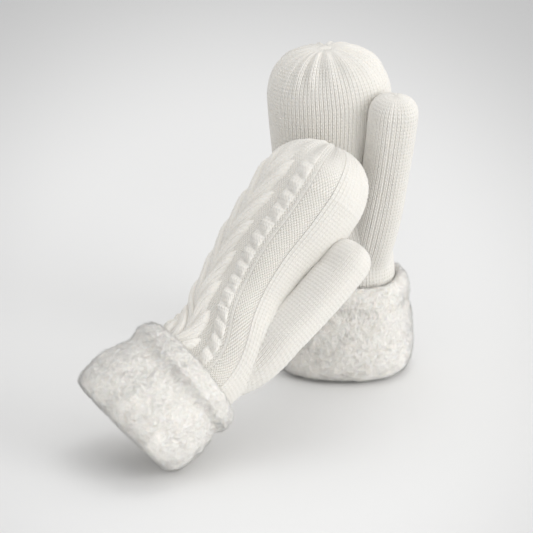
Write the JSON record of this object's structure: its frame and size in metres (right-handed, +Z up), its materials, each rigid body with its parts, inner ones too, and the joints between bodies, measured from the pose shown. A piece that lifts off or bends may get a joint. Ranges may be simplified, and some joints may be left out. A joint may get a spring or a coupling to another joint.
{
  "type": "pair of knitted mittens",
  "caption": "Pair of lined cable-knit mittens with plush cuffs: the right one stands on its cuff and the left one leans back against its palm.",
  "frame": {"origin": "bottom centre of the pair's bounding box, on the surface that both cuffs stand on", "axes": "+Z up, +X to the right as the pair is seen from the front, -Y towards the viewer; the left mitten lies in front and leans towards +Y"},
  "size_m": [0.2634, 0.284, 0.2726],
  "materials": {
    "cable_knit": "cream wool-blend cable knit, matt and slightly fuzzy",
    "plain_knit": "cream wool-blend plain knit, matt and slightly fuzzy",
    "plush": "off-white curly plush pile",
    "fleece_lining": "cream brushed fleece",
    "yarn": "cream twisted linking yarn",
    "elastic": "white woven elastic",
    "satin_label": "blank white satin ribbon"
  },
  "bodies": {
    "right_mitten": {"right_back_panel": "cable_knit", "right_palm_panel": "plain_knit", "right_hand_lining": "fleece_lining", "right_plush_cuff": "plush", "right_cuff_facing": "plush", "right_cuff_stitching": "yarn", "right_wrist_elastic": "elastic", "right_outer_edge_seam": "yarn", "right_back_seam": "yarn", "right_thumb_seam": "yarn", "right_tip_gather": "yarn", "right_care_label": "satin_label"},
    "right_thumb": {"right_thumb_shell": "plain_knit", "right_thumb_lining": "fleece_lining"},
    "left_mitten": {"left_back_panel": "cable_knit", "left_palm_panel": "plain_knit", "left_hand_lining": "fleece_lining", "left_plush_cuff": "plush", "left_cuff_facing": "plush", "left_cuff_stitching": "yarn", "left_wrist_elastic": "elastic", "left_outer_edge_seam": "yarn", "left_back_seam": "yarn", "left_thumb_seam": "yarn", "left_tip_gather": "yarn", "left_care_label": "satin_label"},
    "left_thumb": {"left_thumb_shell": "plain_knit", "left_thumb_lining": "fleece_lining"}
  },
  "joints": [
    {"name": "right_thumb_swing", "type": "hinge", "parent": "right_mitten", "child": "right_thumb", "pos_m": [0.09863, 0.07706, 0.12704], "axis": [0.0698, 0.9976, 0], "range_deg": [0, 28], "stiffness_Nm_per_rad": 0.15},
    {"name": "left_mitten_lift", "type": "slide", "parent": "right_mitten", "child": "left_mitten", "axis": [-0.3502, -0.7505, 0.5604], "range_m": [0, 0.15]},
    {"name": "left_thumb_swing", "type": "hinge", "parent": "left_mitten", "child": "left_thumb", "pos_m": [0.01392, -0.06508, 0.08544], "axis": [0.5672, 0.3837, -0.7287], "range_deg": [0, 28], "stiffness_Nm_per_rad": 0.15}
  ]
}
